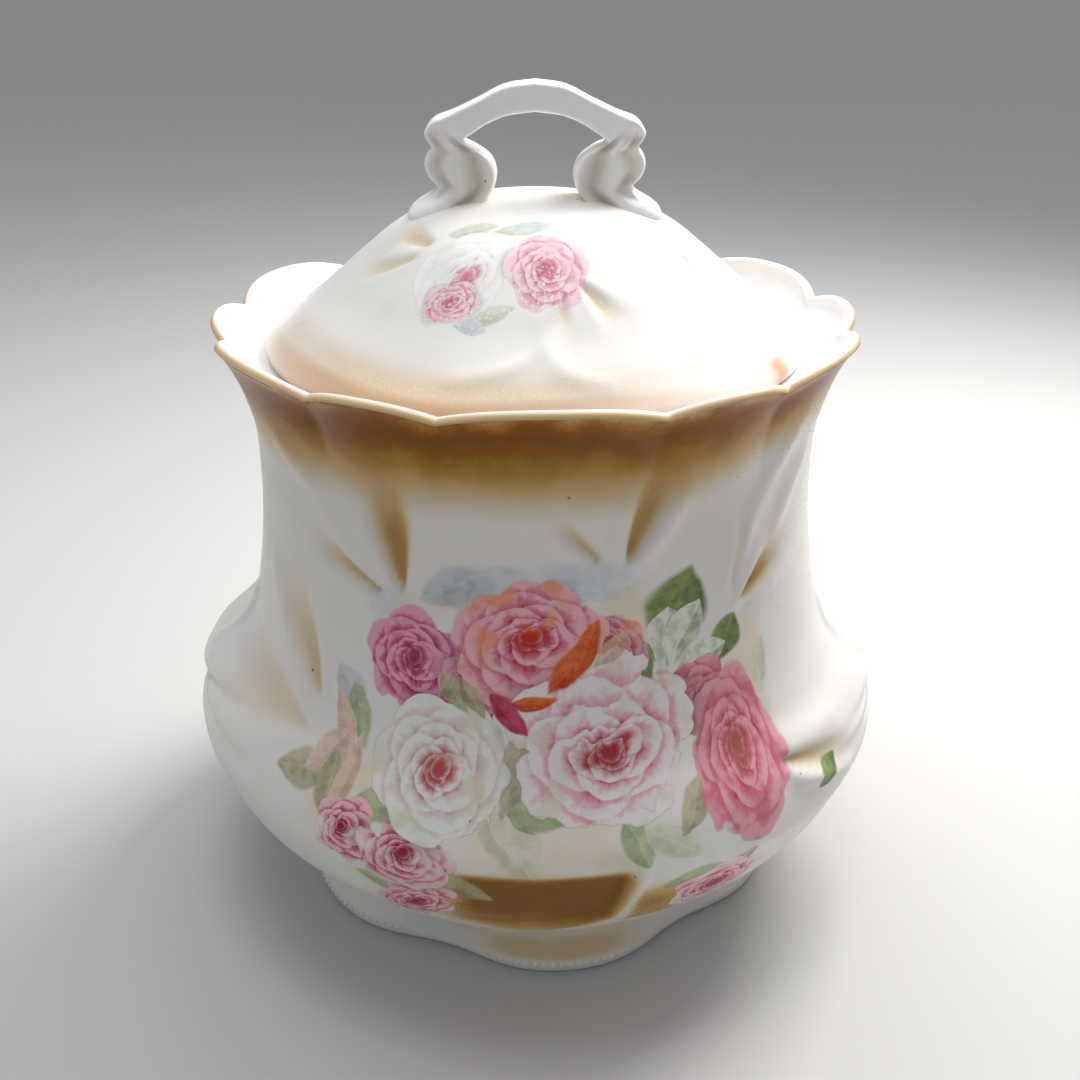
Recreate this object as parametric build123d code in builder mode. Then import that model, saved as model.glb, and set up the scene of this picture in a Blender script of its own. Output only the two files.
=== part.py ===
from build123d import *

import math
import os

# A lidded porcelain jar: a slip-cast body with a scalloped rim and a lobed
# foot, and a lift-off domed lid with a bridge handle luted onto it.
# Millimetres, +Z up, origin on the axis at the level the foot stands on.
# The front, with the painted bouquet, faces -Y.

# ---- driving dimensions -------------------------------------------------
BELLY_RADIUS = 85.0
BELLY_HEIGHT = 46.5
NECK_RADIUS = 66.0
NECK_HEIGHT = 112.0
RIM_CUSP_RADIUS = 72.0
RIM_CUSP_HEIGHT = 142.0
RIM_SCALLOP = 3.0  # how far each rim lobe rises above the cusps beside it
WIDE_BULGE = 2.8  # how far a wide rim lobe stands out past the cusps
NARROW_BULGE = 2.3
FLARE_RADIUS = 67.6  # cusps of the rim where the lobes are already plain to see
FLARE_HEIGHT = 134.0
WALL = 4.0
LIP = 2.8

LOBE_PAIRS = 6  # one wide and one narrow rim lobe in each sixth of the turn
WIDE_LOBE = 36.0  # degrees
NARROW_LOBE = 360.0 / LOBE_PAIRS - WIDE_LOBE
FRONT = -90.0  # degrees from +X: the direction that the jar faces
RIM_TURN = 3.0  # the jar is modelled turned by this much about its axis
FOOT_TURN = 8.0

WAIST_RADIUS = 59.5
WAIST_HEIGHT = 10.5
FOOT_EDGE_RADIUS = 60.5
FOOT_BULGE = 2.8  # how far a foot lobe stands out past the cusps
FOOT_DIP = -2.2  # and how far the foot is drawn in between the lobes
FOOT_EDGE = 3.0  # height over which the foot's edge is all but upright
FOOT_RECESS = 5.5
FOOT_RING = 8.0  # width of the ring that the jar stands on
FOOT_DRAFT = 12.0  # degrees
FLOOR = 5.0

LEDGE_HEIGHT = 136.5
MOUTH_RADIUS = 55.5
LEDGE_THICKNESS = 4.0

SEAT_GAP = 0.3  # between the ledge and the lid
LID_RADIUS = 62.3
LID_EDGE = 2.7
LID_TOP = 170.6
DOME_SHOULDER = (31.5, 164.0)  # where the flat crown turns down, out and up
DOME_FLANK = (48.0, 150.8)
HOLLOW_SHOULDER = (29.0, 160.5)
HOLLOW_BOTTOM = 142.5  # where the hollow of the dome meets the flange's bore
FLANGE_RADIUS = 54.5
FLANGE_DEPTH = 8.0

HANDLE_TOP = 195.0
HANDLE_DEPTH = 14.0
STRAP = 6.5  # thickness of the bridge at its middle
SHOULDER = (24.3, 184.8)  # outer corner of the handle, across and up
ARMPIT = (15.2, 182.6)  # inner corner
FOOT_OUTER = 28.5  # how far out the feet reach
FOOT_INNER = 9.5
FEET_BOTTOM = 163.0  # inside the dome, which trims the feet
HANDLE_ROUNDING = 1.6

# ---- derived levels -----------------------------------------------------
FAINT_BULGE = 0.05  # keeps the arcs of a round section apart
CLEAR_STEP = 0.1  # by which a round section stands outside the turned body
COLLAR_HEIGHT = 124.0  # where the round neck starts to break into rim lobes
COLLAR_RADIUS = NECK_RADIUS + 0.4
RIM_TOP = RIM_CUSP_HEIGHT + RIM_SCALLOP
LID_BOTTOM = LEDGE_HEIGHT + SEAT_GAP
FLOOR_TOP = FOOT_RECESS + FLOOR
FLARE_WALL = (WALL + LIP) / 2
FLANGE_BORE = FLANGE_RADIUS - WALL
FLANGE_BOTTOM = LID_BOTTOM - FLANGE_DEPTH


def on_circle(radius, degrees):
    """The point at this radius and angle about the jar's axis."""
    angle = math.radians(degrees)
    return (radius * math.cos(angle), radius * math.sin(angle))


def lobed_ring(cusp_radius, wide_bulge, narrow_bulge, turn):
    """A flat face bounded by six wide and six narrow arcs that meet at cusps."""
    start = FRONT + turn - WIDE_LOBE / 2
    with BuildSketch() as ring:
        with BuildLine():
            for _ in range(LOBE_PAIRS):
                for width, bulge in ((WIDE_LOBE, wide_bulge), (NARROW_LOBE, narrow_bulge)):
                    ThreePointArc(
                        on_circle(cusp_radius, start),
                        on_circle(cusp_radius + bulge, start + width / 2),
                        on_circle(cusp_radius, start + width),
                    )
                    start += width
        make_face()
    return ring.sketch


def round_ring(radius, turn):
    """An all but round face, just clear of the turned surface of this radius.

    It has the same arcs as a lobed face, so that a loft can run between them.
    """
    return lobed_ring(radius + CLEAR_STEP, FAINT_BULGE, FAINT_BULGE, turn)


def scallop_cutter(width):
    """What lies above one rim lobe: a wedge of sky over a radial barrel."""
    half_chord = RIM_CUSP_RADIUS * math.sin(math.radians(width / 2))
    barrel = (half_chord**2 + RIM_SCALLOP**2) / (2 * RIM_SCALLOP)
    reach = RIM_CUSP_RADIUS + 20
    with BuildPart() as cutter:
        with BuildSketch(Plane.XY.offset(RIM_CUSP_HEIGHT - 1)):
            with BuildLine():
                Polyline(
                    (0, 0),
                    on_circle(reach, -width / 2),
                    on_circle(reach, width / 2),
                    close=True,
                )
            make_face()
        extrude(amount=RIM_SCALLOP + 4)
        with BuildSketch(Plane.YZ) as barrel_end:
            with Locations((0, RIM_TOP - barrel)):
                Circle(barrel)
        extrude(barrel_end.sketch, amount=reach, mode=Mode.SUBTRACT)
    return cutter.part


# ---- jar body -----------------------------------------------------------
wide_cutter = scallop_cutter(WIDE_LOBE)
narrow_cutter = scallop_cutter(NARROW_LOBE)

with BuildPart() as jar_body:
    # outside: from the waist over the belly and up the neck
    with BuildSketch(Plane.XZ):
        with BuildLine():
            Spline(
                (WAIST_RADIUS, WAIST_HEIGHT),
                (70.0, 20.0),
                (BELLY_RADIUS, BELLY_HEIGHT),
                (74.5, 65.5),
                (69.3, 80.0),
                (NECK_RADIUS, NECK_HEIGHT),
                (COLLAR_RADIUS, COLLAR_HEIGHT),
            )
            Polyline(
                (COLLAR_RADIUS, COLLAR_HEIGHT),
                (0, COLLAR_HEIGHT),
                (0, WAIST_HEIGHT),
                (WAIST_RADIUS, WAIST_HEIGHT),
            )
        make_face()
    revolve(axis=Axis.Z)

    # the foot: six lobes that spread from the waist down to the edge it stands on
    with BuildSketch(Plane.XY):
        add(lobed_ring(FOOT_EDGE_RADIUS, FOOT_BULGE, FOOT_DIP, FOOT_TURN))
    with BuildSketch(Plane.XY.offset(FOOT_EDGE)):
        add(lobed_ring(FOOT_EDGE_RADIUS - 0.3, FOOT_BULGE - 0.2, FOOT_DIP + 0.3, FOOT_TURN))
    with BuildSketch(Plane.XY.offset(WAIST_HEIGHT)):
        add(round_ring(WAIST_RADIUS, FOOT_TURN))
    loft()

    # the rim: the neck flares and breaks into wide and narrow lobes
    with BuildSketch(Plane.XY.offset(COLLAR_HEIGHT)):
        add(round_ring(COLLAR_RADIUS, RIM_TURN))
    with BuildSketch(Plane.XY.offset(FLARE_HEIGHT)):
        add(lobed_ring(FLARE_RADIUS, WIDE_BULGE / 2, NARROW_BULGE / 2, RIM_TURN))
    with BuildSketch(Plane.XY.offset(RIM_TOP)):
        add(lobed_ring(RIM_CUSP_RADIUS, WIDE_BULGE, NARROW_BULGE, RIM_TURN))
    loft()

    # inside: the hollow of the belly and the neck
    with BuildSketch(Plane.XZ):
        with BuildLine():
            Spline(
                (WAIST_RADIUS - WALL, FLOOR_TOP),
                (68.0, 22.5),
                (BELLY_RADIUS - WALL, BELLY_HEIGHT),
                (70.8, 64.0),
                (65.5, 79.0),
                (NECK_RADIUS - WALL, NECK_HEIGHT),
                (COLLAR_RADIUS - WALL, COLLAR_HEIGHT),
            )
            Polyline(
                (COLLAR_RADIUS - WALL, COLLAR_HEIGHT),
                (0, COLLAR_HEIGHT),
                (0, FLOOR_TOP),
                (WAIST_RADIUS - WALL, FLOOR_TOP),
            )
        make_face()
    revolve(axis=Axis.Z, mode=Mode.SUBTRACT)

    # inside the rim: lobed like the outside, thinning to the lip
    with BuildSketch(Plane.XY.offset(COLLAR_HEIGHT)):
        add(round_ring(COLLAR_RADIUS - WALL, RIM_TURN))
    with BuildSketch(Plane.XY.offset(FLARE_HEIGHT)):
        add(lobed_ring(FLARE_RADIUS - FLARE_WALL, WIDE_BULGE / 2, NARROW_BULGE / 2, RIM_TURN))
    with BuildSketch(Plane.XY.offset(RIM_TOP)):
        add(lobed_ring(RIM_CUSP_RADIUS - LIP, WIDE_BULGE, NARROW_BULGE, RIM_TURN))
    loft(mode=Mode.SUBTRACT)

    # the ledge that the lid sits on, with a sloping underside
    with BuildSketch(Plane.XZ):
        with BuildLine():
            Polyline(
                (NECK_RADIUS - 1, LEDGE_HEIGHT),
                (MOUTH_RADIUS, LEDGE_HEIGHT),
                (MOUTH_RADIUS, LEDGE_HEIGHT - LEDGE_THICKNESS),
                (NECK_RADIUS - 2, COLLAR_HEIGHT),
                close=True,
            )
        make_face()
    revolve(axis=Axis.Z)

    # the recess under the base, inside the ring that the foot stands on
    with BuildSketch(Plane.XY):
        Circle(FOOT_EDGE_RADIUS - FOOT_RING)
    extrude(amount=FOOT_RECESS, taper=FOOT_DRAFT, mode=Mode.SUBTRACT)

    # the scallops: every rim lobe is arched, and dips to the cusps at its ends
    for index in range(LOBE_PAIRS):
        wide_direction = FRONT + RIM_TURN + index * 360.0 / LOBE_PAIRS
        narrow_direction = wide_direction + 180.0 / LOBE_PAIRS
        add(wide_cutter, rotation=(0, 0, wide_direction), mode=Mode.SUBTRACT)
        add(narrow_cutter, rotation=(0, 0, narrow_direction), mode=Mode.SUBTRACT)

# ---- lid ----------------------------------------------------------------
with BuildPart() as dome_outside:
    with BuildSketch(Plane.XZ):
        with BuildLine():
            Line((0, LID_BOTTOM), (LID_RADIUS, LID_BOTTOM))
            Line((LID_RADIUS, LID_BOTTOM), (LID_RADIUS, LID_BOTTOM + LID_EDGE))
            Spline(
                (LID_RADIUS, LID_BOTTOM + LID_EDGE),
                DOME_FLANK,
                DOME_SHOULDER,
                (0, LID_TOP),
                tangents=((-0.9, 0.45), (-1, 0)),
            )
            Line((0, LID_TOP), (0, LID_BOTTOM))
        make_face()
    revolve(axis=Axis.Z)

with BuildPart() as lid_dome:
    add(dome_outside.part)

    # the flange that drops into the mouth and keeps the lid in place
    with BuildSketch(Plane.XY.offset(FLANGE_BOTTOM)):
        Circle(FLANGE_RADIUS)
    extrude(amount=FLANGE_DEPTH + 1)

    # the hollow of the dome, open downwards through the flange
    with BuildSketch(Plane.XZ):
        with BuildLine():
            Line((0, FLANGE_BOTTOM), (FLANGE_BORE, FLANGE_BOTTOM))
            Line((FLANGE_BORE, FLANGE_BOTTOM), (FLANGE_BORE, HOLLOW_BOTTOM))
            Spline(
                (FLANGE_BORE, HOLLOW_BOTTOM),
                HOLLOW_SHOULDER,
                (0, LID_TOP - WALL),
                tangents=((-0.8, 0.6), (-1, 0)),
            )
            Line((0, LID_TOP - WALL), (0, FLANGE_BOTTOM))
        make_face()
    revolve(axis=Axis.Z, mode=Mode.SUBTRACT)

# ---- handle -------------------------------------------------------------
with BuildPart() as lid_handle:
    # one half of the bridge, outside then inside, in the plane across the jar
    with BuildSketch(Plane.XZ.offset(-HANDLE_DEPTH / 2)):
        with BuildLine():
            Spline(
                (0, HANDLE_TOP),
                (12.5, 190.9),
                (19.2, 188.1),
                SHOULDER,
                tangents=((1, 0), (0.5, -1)),
            )
            Spline(
                SHOULDER,
                (23.2, 180.8),
                (24.2, 176.8),
                (21.5, 172.2),
                (FOOT_OUTER, FEET_BOTTOM),
            )
            Line((FOOT_OUTER, FEET_BOTTOM), (FOOT_INNER, FEET_BOTTOM))
            Spline(
                (FOOT_INNER, FEET_BOTTOM),
                (8.6, 174.5),
                (9.8, 178.0),
                ARMPIT,
            )
            Spline(
                ARMPIT,
                (11.2, 185.4),
                (0, HANDLE_TOP - STRAP),
                tangents=((-0.8, 0.6), (-1, 0)),
            )
            Line((0, HANDLE_TOP - STRAP), (0, HANDLE_TOP))
        make_face()
        mirror(about=Plane.YZ)
    extrude(amount=HANDLE_DEPTH)
    strap_edges = lid_handle.edges().filter_by(
        lambda edge: abs(abs(edge.center().Y) - HANDLE_DEPTH / 2) < 0.01
        and edge.center().Z > FEET_BOTTOM + 1
    )
    fillet(strap_edges, radius=HANDLE_ROUNDING)

    # the feet of the handle are shaped to the dome that they are luted onto
    add(dome_outside.part, mode=Mode.SUBTRACT)

# ---- write --------------------------------------------------------------
jar_body.part.label = "jar_body"
lid_dome.part.label = "lid_dome"
lid_handle.part.label = "lid_handle"

os.makedirs("parts", exist_ok=True)
export_step(jar_body.part, "parts/jar_body.step")
export_step(lid_dome.part, "parts/lid_dome.step")
export_step(lid_handle.part, "parts/lid_handle.step")
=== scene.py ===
import math

import bmesh
import bpy
import numpy as np
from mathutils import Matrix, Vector


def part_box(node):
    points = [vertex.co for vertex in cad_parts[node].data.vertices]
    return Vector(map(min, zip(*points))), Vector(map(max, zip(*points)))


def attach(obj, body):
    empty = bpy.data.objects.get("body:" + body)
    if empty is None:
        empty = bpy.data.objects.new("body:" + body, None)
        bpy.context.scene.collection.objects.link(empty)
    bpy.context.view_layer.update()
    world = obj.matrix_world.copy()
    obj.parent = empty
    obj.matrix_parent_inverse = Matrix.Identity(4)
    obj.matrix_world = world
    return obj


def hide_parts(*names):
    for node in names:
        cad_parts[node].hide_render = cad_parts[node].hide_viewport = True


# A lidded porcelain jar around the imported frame. Shapes are worked out in
# millimetres, angles in degrees from the front (-Y), positive towards +X.

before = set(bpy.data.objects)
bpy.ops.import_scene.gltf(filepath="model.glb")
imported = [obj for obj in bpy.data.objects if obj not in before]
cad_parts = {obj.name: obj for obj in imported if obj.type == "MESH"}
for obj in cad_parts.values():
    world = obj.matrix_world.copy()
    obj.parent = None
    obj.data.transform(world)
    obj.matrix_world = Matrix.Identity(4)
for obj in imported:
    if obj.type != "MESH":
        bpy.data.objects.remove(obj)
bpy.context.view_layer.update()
MM = 0.001

jar_high = np.array(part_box("jar_body")[1]) / MM
lid_low, lid_high = (np.array(corner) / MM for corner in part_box("lid_dome"))
handle_high = np.array(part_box("lid_handle")[1]) / MM

BELLY_RADIUS = jar_high[0]
RIM_TOP = jar_high[2]
LID_RADIUS = lid_high[0]
LID_TOP = lid_high[2]
HANDLE_TOP = handle_high[2]

# the outline the frame's boxes don't give, with the same values as in the CAD model
SCALLOP = 3.0  # how far a rim lobe rises above the cusps beside it
RIM_CUSP = RIM_TOP - SCALLOP
RIM_TURN = 3.0  # degrees that the rim and the foot are turned about the axis
FOOT_TURN = 8.0
WIDE_LOBE = 36.0  # degrees
LOBE_PITCH = 60.0
NECK_TOP = 112.0  # where the neck starts to break into rim lobes
LEDGE = 136.5
FLOOR_TOP = 10.5
FOOT_RECESS = 5.5
LID_BOTTOM = 136.8
FLANGE_RADIUS = 54.5

# how far the rim's lobes rise above and stand out past the cusps here
CROWN_RISE = 3.45
CROWN_BULGE = 3.4
NARROW_SHARE = 0.82  # a narrow lobe's part of that
LOBE_FULLNESS = 2.4  # 2 would make every lobe a parabola, more makes it blunter

# width of a degree of turn, in millimetres, where the moulded marks lie
NECK_DEGREE = 1.17
DOME_DEGREE = 0.66


# ---- small helpers ----
def smooth(start, end, value):
    """0 before start, 1 after end, and an S between them."""
    t = np.clip((np.asarray(value, float) - start) / (end - start), 0.0, 1.0)
    return t * t * (3 - 2 * t)


def hump(distance, width):
    """A bell: 1 at no distance, and about a third at the width."""
    return np.exp(-((np.asarray(distance, float) / width) ** 2))


def wrap(degrees):
    """The same angle between -180 and 180."""
    return (np.asarray(degrees, float) + 180.0) % 360.0 - 180.0


def smooth_path(points, count):
    """A Catmull-Rom curve through the points, at even steps along its length."""
    p = np.array(points, float)
    p = np.vstack([2 * p[0] - p[1], p, 2 * p[-1] - p[-2]])
    t = np.linspace(0, 1, 40, endpoint=False)[:, None]
    pieces = []
    for a, b, c, d in zip(p[:-3], p[1:-2], p[2:-1], p[3:]):
        square = (2 * a - 5 * b + 4 * c - d) * t**2
        cube = (3 * b - a - 3 * c + d) * t**3
        pieces.append(0.5 * (2 * b + (c - a) * t + square + cube))
    dense = np.vstack(pieces + [p[-2:-1]])
    walked = np.concatenate([[0], np.cumsum(np.linalg.norm(np.diff(dense, axis=0), axis=1))])
    even = np.linspace(0, walked[-1], count)
    return np.stack([np.interp(even, walked, dense[:, k]) for k in range(dense.shape[1])], axis=1)


def turned(turn, radius, height):
    """Points at a turn about the axis, a radius and a height."""
    angle = np.radians(turn)
    return np.stack([radius * np.sin(angle), -radius * np.cos(angle), height], axis=-1)


def smooth_mesh(name, verts, faces):
    mesh = bpy.data.meshes.new(name)
    mesh.from_pydata(verts.tolist(), [], faces)
    mesh.polygons.foreach_set("use_smooth", np.ones(len(faces), bool))
    return mesh


def add_map(mesh, places):
    """The bake's map, from a place for every corner of every face."""
    layer = mesh.uv_layers.new(name="OFBake")
    layer.data.foreach_set("uv", np.array(places, np.float32).ravel())


def grid_object(name, points, attributes=None, uv=None):
    """A closed surface from rings of points, the first and last ring being one point each.

    points is (rows, columns, 3) in millimetres. attributes holds (rows, columns)
    arrays. uv is a function of (row fraction, column fraction) for the bake's map.
    """
    rows, columns, _ = points.shape
    verts = np.vstack([points[0, :1], points[1:-1].reshape(-1, 3), points[-1, :1]]) * MM
    last = len(verts) - 1

    def index(row, column):
        return 1 + (row - 1) * columns + column % columns

    faces = []
    corners = []
    for column in range(columns):
        faces.append((0, index(1, column + 1), index(1, column)))
        corners.append(((0, column + 0.5), (1, column + 1), (1, column)))
    for row in range(1, rows - 2):
        for column in range(columns):
            ring = ((row, column), (row, column + 1), (row + 1, column + 1), (row + 1, column))
            faces.append([index(*corner) for corner in ring])
            corners.append(ring)
    for column in range(columns):
        faces.append((index(rows - 2, column), index(rows - 2, column + 1), last))
        corners.append(((rows - 2, column), (rows - 2, column + 1), (rows - 1, column + 0.5)))
    mesh = smooth_mesh(name, verts, faces)
    for key, field in (attributes or {}).items():
        layer = mesh.attributes.new(key, "FLOAT", "POINT")
        flat = np.concatenate([field[0, :1], field[1:-1].ravel(), field[-1, :1]])
        layer.data.foreach_set("value", flat.astype(np.float32))
    if uv is not None:
        place = np.array([c for face in corners for c in face], float)
        u, v = uv(place[:, 0] / (rows - 1), place[:, 1] / columns)
        add_map(mesh, np.stack([u, v], axis=1))
    mesh.update()
    piece = bpy.data.objects.new(name, mesh)
    bpy.context.scene.collection.objects.link(piece)
    return piece


def lobe_shape(turn, offset):
    """0 at the rim's cusps, 1 in the middle of a wide lobe, a little less in a narrow one."""
    around = (np.asarray(turn, float) - offset + WIDE_LOBE / 2) % LOBE_PITCH
    narrow = LOBE_PITCH - WIDE_LOBE
    wide_part = np.abs(around - WIDE_LOBE / 2) / (WIDE_LOBE / 2)
    narrow_part = np.abs(around - WIDE_LOBE - narrow / 2) / (narrow / 2)
    across = np.where(around < WIDE_LOBE, wide_part, narrow_part)
    height = np.where(around < WIDE_LOBE, 1.0, NARROW_SHARE)
    return height * (1 - across**LOBE_FULLNESS)


# ---- moulded relief of the jar ----
def groove(turn, height, tip, end, tip_width, end_width, scale=NECK_DEGREE):
    """A pinch in the clay: how far it is pressed in, and how far its sides stand up, both 0 to 1.

    It is narrow at its tip, and broad and faint at its end. Its sides are steep.
    """
    x = wrap(turn - tip[0]) * scale
    y = height - tip[1]
    run = np.array([(end[0] - tip[0]) * scale, end[1] - tip[1]])
    length = np.hypot(*run)
    along = (x * run[0] + y * run[1]) / length**2
    across = (x * run[1] - y * run[0]) / length
    width = tip_width + (end_width - tip_width) * np.clip(along, 0, 1.2) ** 0.8
    fade = smooth(-0.08, 0.08, along) * (1 - smooth(0.40, 1.30, along))
    pressed = np.exp(-((np.abs(across) / width) ** 3.2)) * fade
    return pressed, hump(np.abs(across) - 1.75 * width, 0.8 * width + 0.4) * fade


def ridge(turn, height, route, width, scale=NECK_DEGREE):
    """1 along a raised line through the points of the route, fading at its ends."""
    path = smooth_path(route, 15)
    last = len(path) - 1
    best = np.zeros(np.broadcast(turn, height).shape)
    for k, (start, end) in enumerate(zip(path[:-1], path[1:])):
        x = wrap(turn - start[0]) * scale
        y = height - start[1]
        run_x = (end[0] - start[0]) * scale
        run_y = end[1] - start[1]
        along = np.clip((x * run_x + y * run_y) / (run_x**2 + run_y**2), 0, 1)
        walked = (k + along) / last
        fade = smooth(0.0, 0.2, walked) * smooth(1.0, 0.8, walked)
        best = np.maximum(best, fade * hump(np.hypot(x - along * run_x, y - along * run_y), width))
    return best


# tip (turn, height), broad end, width at the tip and at the end, depth in mm, tint
PINCHES = (
    ((-24.0, 102.0), (-28.0, 127.0), 0.7, 6.5, 1.6, 0.72),
    ((-28.5, 100.0), (-43.0, 107.0), 0.5, 3.0, 1.0, 0.48),
    ((16.5, 109.8), (23.5, 130.0), 0.7, 4.6, 1.4, 0.62),
    ((11.4, 110.5), (4.0, 119.0), 0.5, 1.8, 0.8, 0.40),
    ((41.2, 94.2), (52.5, 103.5), 0.8, 4.8, 1.5, 0.75),
    ((38.7, 99.0), (41.5, 114.0), 0.5, 1.8, 0.5, 0.15),
    ((-42.0, 71.5), (-53.0, 93.0), 0.8, 6.5, 1.2, 0.36),
    ((-42.5, 64.5), (-66.0, 68.0), 0.8, 8.0, 0.9, 0.24),
    ((42.5, 58.5), (59.0, 52.0), 0.7, 3.4, 1.3, 0.38),
)

# points (turn, height), width, rise in mm
RIDGES = (
    (((57.0, 132.0), (50.0, 122.0), (42.5, 111.0), (37.5, 99.0)), 3.0, 0.75),
    (((66.0, 124.0), (55.0, 112.0), (48.0, 103.0), (40.5, 96.5)), 3.0, 0.75),
    (((-56.0, 130.0), (-46.0, 121.0), (-36.0, 110.0), (-29.0, 102.0)), 3.4, 0.6),
    (((-16.0, 132.0), (-18.0, 122.0), (-20.5, 110.0), (-24.0, 98.5)), 2.8, 0.75),
    (((23.0, 132.0), (26.0, 124.0), (23.0, 115.0), (16.0, 106.0)), 2.6, 0.75),
    (((3.0, 130.0), (8.0, 122.0), (14.0, 112.0), (14.5, 104.0)), 2.4, 0.45),
    (((-66.0, 98.0), (-59.0, 90.0), (-49.0, 78.0), (-42.0, 68.0)), 3.2, 0.75),
    (((62.0, 60.0), (54.0, 60.5), (47.0, 61.5), (41.0, 62.5)), 2.0, 0.9),
    (((62.0, 47.0), (54.0, 50.0), (47.0, 53.0), (42.0, 55.5)), 2.0, 0.9),
    (((-75.0, 83.0), (-78.0, 76.0), (-82.0, 67.0), (-86.0, 58.0)), 1.7, 1.2),
    (((82.0, 78.0), (79.0, 71.0), (81.0, 63.0), (86.0, 56.0)), 1.7, 0.9),
)


def pinch_marks(turn, height):
    """Millimetres of relief at the pinches, and how much ochre lies in them."""
    relief = np.zeros(np.broadcast(turn, height).shape)
    tint = np.zeros_like(relief)
    for side in (0.0, 180.0):
        for tip, end, tip_width, end_width, deep, colour in PINCHES:
            pressed, lips = groove(turn - side, height, tip, end, tip_width, end_width)
            relief += deep * (0.45 * lips - pressed)
            tint = np.maximum(tint, colour * pressed)
    return relief, tint


# the petal at the bottom of the front: height of its lip, and the fold down its right side
PETAL_LIP = 49.0
PETAL_FOLD = ((13.5, 57.0), (15.0, 48.0), (13.5, 38.0), (10.5, 29.5), (3.0, 23.5), (-12.0, 21.0))

# where the seam between two petals starts and ends, (turn, height), on each side
SIDE_SEAMS = (((60.0, 55.0), (96.0, 53.0)), ((-47.0, 64.0), (-96.0, 50.5)))


def petal_hollow(turn, height):
    """1 in the hollow under the front petal's lip, 0 outside it."""
    right_edge = turn + 0.16 * (38 - height)
    bottom = 20.0 + 7.0 * np.abs((turn + 3) / 15) ** 3
    below = smooth(bottom, bottom + 6.0, height) * smooth(PETAL_LIP, PETAL_LIP - 4.5, height)
    return smooth(-19, -8, turn) * smooth(14.4, 11.8, right_edge) * below


def body_relief(turn, height):
    """Millimetres that the moulded petals stand out from the turned form."""
    out, _ = pinch_marks(turn, height)
    for side in (0.0, 180.0):
        local = wrap(turn - side)
        for route, width, rise in RIDGES:
            out = out + rise * ridge(local, height, route, width)
        # the seams at the sides, and the petal tips above them
        for start, end in SIDE_SEAMS:
            sweep = np.clip((local - start[0]) / (end[0] - start[0]), 0, 1)
            level = start[1] + (end[1] - start[1]) * sweep
            beyond = smooth(1.3, 1.0, (local - start[0]) / (end[0] - start[0]))
            out = out - 2.4 * hump(height - level, 1.5) * sweep * beyond
            above = height - level
            tip = 2.2 * smooth(-0.2, 1.6, above) * hump(above - 5, 9.0) + 0.9 * hump(above + 5.5, 4.5)
            out = out + tip * hump(wrap(local - end[0]), 24.0)
        # the front petal's lip, the hollow under it, and the fold
        lip = hump(height - PETAL_LIP - 2.5, 3.2) * smooth(-22, -8, local) * smooth(17, 12, local)
        fold = ridge(local, height, PETAL_FOLD, 1.5)
        out = out + 0.9 * lip - 2.2 * petal_hollow(local, height) + 1.5 * fold
    return out


def airbrush(turn, height):
    """Ochre in the pinches and under the front petal, and tan on the foot."""
    _, tint = pinch_marks(turn, height - 0.4)
    for side in (0.0, 180.0):
        local = wrap(turn - side)
        under = petal_hollow(local, height + 0.5) * (0.78 + 0.22 * smooth(25, 38, height))
        beside = smooth(13.5, 16.5, local) * smooth(29, 19, local)
        beside = beside * smooth(23, 28, height) * smooth(46, 36, height)
        tint = np.maximum(tint, np.maximum(1.1 * under, 0.75 * beside))
        foot = smooth(-22, -4, local) * smooth(34, 14, local)
        foot = foot * smooth(2.5, 5, height) * smooth(12, 7, height)
        tint = np.maximum(tint, 0.4 * foot)
    return tint


# ---- jar ----
UNDER, OUTSIDE, LIP, INSIDE = range(4)


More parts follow.
